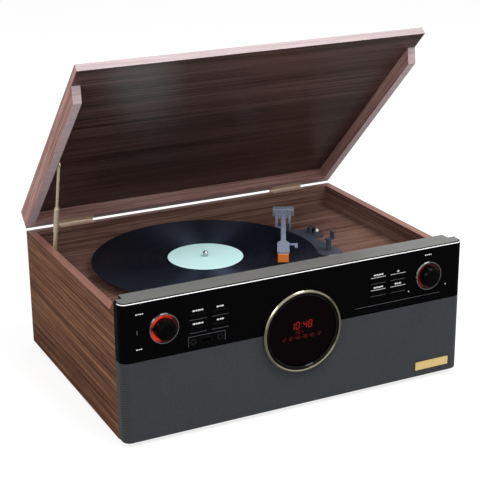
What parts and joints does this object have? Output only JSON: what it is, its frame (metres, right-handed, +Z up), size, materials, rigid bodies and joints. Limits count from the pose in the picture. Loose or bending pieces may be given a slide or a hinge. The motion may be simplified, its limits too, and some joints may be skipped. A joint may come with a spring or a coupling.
{
  "type": "turntable",
  "caption": "Wooden music centre: belt-drive turntable under a hinged lid, round clock display, disc drawer, knobs, push buttons and loudspeakers behind a cloth grille.",
  "frame": {"origin": "on the floor, under the centre of the whole object with its lid open", "axes": "+X to the user's right along the front, +Y from the front to the rear, +Z up; the lid is drawn open"},
  "size_m": [0.474, 0.3802, 0.4425],
  "materials": {
    "walnut_veneer": "satin",
    "fibreboard": "matt",
    "gloss_black": "gloss",
    "speaker_cloth": "matt",
    "brass": "satin",
    "chrome": "polished",
    "smoked_window": "gloss",
    "red_lens": "lit",
    "black_plastic": "moulded",
    "circuit_board": "satin",
    "steel": "satin",
    "aluminium": "satin",
    "record_vinyl": "pressed",
    "rubber": "matt",
    "silver_plastic": "satin",
    "orange_plastic": "gloss",
    "cone_paper": "matt"
  },
  "bodies": {
    "cabinet": {"left_side_panel": "walnut_veneer", "right_side_panel": "walnut_veneer", "rear_panel": "walnut_veneer", "bottom_panel": "fibreboard", "deck_board": "walnut_veneer", "front_baffle": "fibreboard", "fascia": "gloss_black", "speaker_grille": "speaker_cloth", "nameplate": "brass", "feet": "rubber", "screws": "steel", "speaker_baskets": "steel", "speaker_cones": "cone_paper", "display_bezel": "brass", "display_window": "smoked_window", "clock_display": "black_plastic", "control_boards": "circuit_board", "knob_bezels": "chrome", "knob_glow_rings": "red_lens", "front_sockets": "steel", "cd_mechanism": "black_plastic", "hinge_lower_leaves": "brass", "turntable_chassis": "steel", "motor": "steel", "drive_belt": "rubber", "armboard": "black_plastic", "arm_rest": "black_plastic", "rear_sockets": "black_plastic", "main_board": "circuit_board", "power_supply": "circuit_board"},
    "lid": {"lid_top": "walnut_veneer", "lid_walls": "walnut_veneer", "hinge_upper_leaves": "brass", "stay_upper_bracket": "brass"},
    "stay_tube": {"stay_tube": "brass"},
    "stay_rod": {"stay_rod": "brass"},
    "platter": {"platter": "aluminium", "platter_mat": "rubber", "record": "record_vinyl", "spindle": "steel"},
    "motor_pulley": {"motor_pulley": "black_plastic"},
    "arm_pivot": {"arm_pivot": "silver_plastic"},
    "tonearm": {"tonearm_tube": "silver_plastic", "counterweight": "silver_plastic", "headshell": "silver_plastic", "stylus": "orange_plastic"},
    "cue_lever": {"cue_lever": "silver_plastic"},
    "cue_lift": {"cue_lift": "black_plastic"},
    "source_knob": {"source_knob": "gloss_black"},
    "volume_knob": {"volume_knob": "gloss_black"},
    "cd_drawer": {"cd_drawer": "gloss_black"},
    "speed_selector": {"speed_selector": "black_plastic"},
    "left_button_1": {"left_button_1": "gloss_black"},
    "left_button_2": {"left_button_2": "gloss_black"},
    "left_button_3": {"left_button_3": "gloss_black"},
    "left_button_4": {"left_button_4": "gloss_black"},
    "right_button_1": {"right_button_1": "gloss_black"},
    "right_button_2": {"right_button_2": "gloss_black"},
    "right_button_3": {"right_button_3": "gloss_black"},
    "right_button_4": {"right_button_4": "gloss_black"}
  },
  "joints": [
    {"name": "lid_hinge", "type": "hinge", "parent": "cabinet", "child": "lid", "pos_m": [0, 0.17403, 0.169], "axis": [1, 0, 0], "range_deg": [0, 44.6]},
    {"name": "stay_swing", "type": "hinge", "parent": "cabinet", "child": "stay_tube", "pos_m": [-0.2216, 0.09843, 0.1575], "axis": [1, 0, 0], "range_deg": [-0.01, 63.05]},
    {"name": "stay_slide", "type": "slide", "parent": "stay_tube", "child": "stay_rod", "axis": [0, -0.2828, 0.9592], "range_m": [-0.04551, 0.00001]},
    {"name": "platter_spin", "type": "hinge", "parent": "cabinet", "child": "platter", "pos_m": [-0.044, 0.00693, 0.14], "axis": [0, 0, -1], "continuous": true},
    {"name": "pulley_spin", "type": "hinge", "parent": "cabinet", "child": "motor_pulley", "pos_m": [-0.09774, 0.06067, 0.14], "axis": [0, 0, -1], "continuous": true},
    {"name": "arm_swing", "type": "hinge", "parent": "cabinet", "child": "arm_pivot", "pos_m": [0.1075, 0.07243, 0.166], "axis": [0, 0, 1], "range_deg": [-17, 35]},
    {"name": "arm_lift", "type": "hinge", "parent": "arm_pivot", "child": "tonearm", "pos_m": [0.1075, 0.07243, 0.166], "axis": [-0.8829, 0.4695, 0], "range_deg": [0, 3.8]},
    {"name": "cue_lever_tip", "type": "hinge", "parent": "cabinet", "child": "cue_lever", "pos_m": [0.138, 0.04543, 0.15], "axis": [-1, 0, 0], "range_deg": [-0.5, 35.5]},
    {"name": "cue_lift_rise", "type": "slide", "parent": "cabinet", "child": "cue_lift", "axis": [0, 0, 1], "range_m": [0, 0.003]},
    {"name": "source_turn", "type": "hinge", "parent": "cabinet", "child": "source_knob", "pos_m": [-0.1835, -0.17657, 0.147], "axis": [0, 1, 0], "continuous": true},
    {"name": "volume_turn", "type": "hinge", "parent": "cabinet", "child": "volume_knob", "pos_m": [0.1835, -0.17657, 0.147], "axis": [0, 1, 0], "range_deg": [-140, 140]},
    {"name": "left_button_1_press", "type": "slide", "parent": "cabinet", "child": "left_button_1", "axis": [0, 1, 0], "range_m": [0, 0.001], "stiffness_N_per_m": 400, "springref_m": -0.0005},
    {"name": "left_button_2_press", "type": "slide", "parent": "cabinet", "child": "left_button_2", "axis": [0, 1, 0], "range_m": [0, 0.001], "stiffness_N_per_m": 400, "springref_m": -0.0005},
    {"name": "left_button_3_press", "type": "slide", "parent": "cabinet", "child": "left_button_3", "axis": [0, 1, 0], "range_m": [0, 0.001], "stiffness_N_per_m": 400, "springref_m": -0.0005},
    {"name": "left_button_4_press", "type": "slide", "parent": "cabinet", "child": "left_button_4", "axis": [0, 1, 0], "range_m": [0, 0.001], "stiffness_N_per_m": 400, "springref_m": -0.0005},
    {"name": "right_button_1_press", "type": "slide", "parent": "cabinet", "child": "right_button_1", "axis": [0, 1, 0], "range_m": [0, 0.001], "stiffness_N_per_m": 400, "springref_m": -0.0005},
    {"name": "right_button_2_press", "type": "slide", "parent": "cabinet", "child": "right_button_2", "axis": [0, 1, 0], "range_m": [0, 0.001], "stiffness_N_per_m": 400, "springref_m": -0.0005},
    {"name": "right_button_3_press", "type": "slide", "parent": "cabinet", "child": "right_button_3", "axis": [0, 1, 0], "range_m": [0, 0.001], "stiffness_N_per_m": 400, "springref_m": -0.0005},
    {"name": "right_button_4_press", "type": "slide", "parent": "cabinet", "child": "right_button_4", "axis": [0, 1, 0], "range_m": [0, 0.001], "stiffness_N_per_m": 400, "springref_m": -0.0005},
    {"name": "cd_drawer_slide", "type": "slide", "parent": "cabinet", "child": "cd_drawer", "axis": [0, -1, 0], "range_m": [0, 0.13]},
    {"name": "speed_select", "type": "slide", "parent": "cabinet", "child": "speed_selector", "axis": [0, 1, 0], "range_m": [-0.008, 0.008]}
  ],
  "couplings": [
    {"joint": "stay_swing", "follows": "lid_hinge", "ratio": 1.4135},
    {"joint": "stay_slide", "follows": "lid_hinge", "m_per_rad": -0.058446},
    {"joint": "pulley_spin", "follows": "platter_spin", "ratio": 8.3333},
    {"joint": "cue_lever_tip", "follows": "cue_lift_rise", "rad_per_m": 203.62}
  ]
}
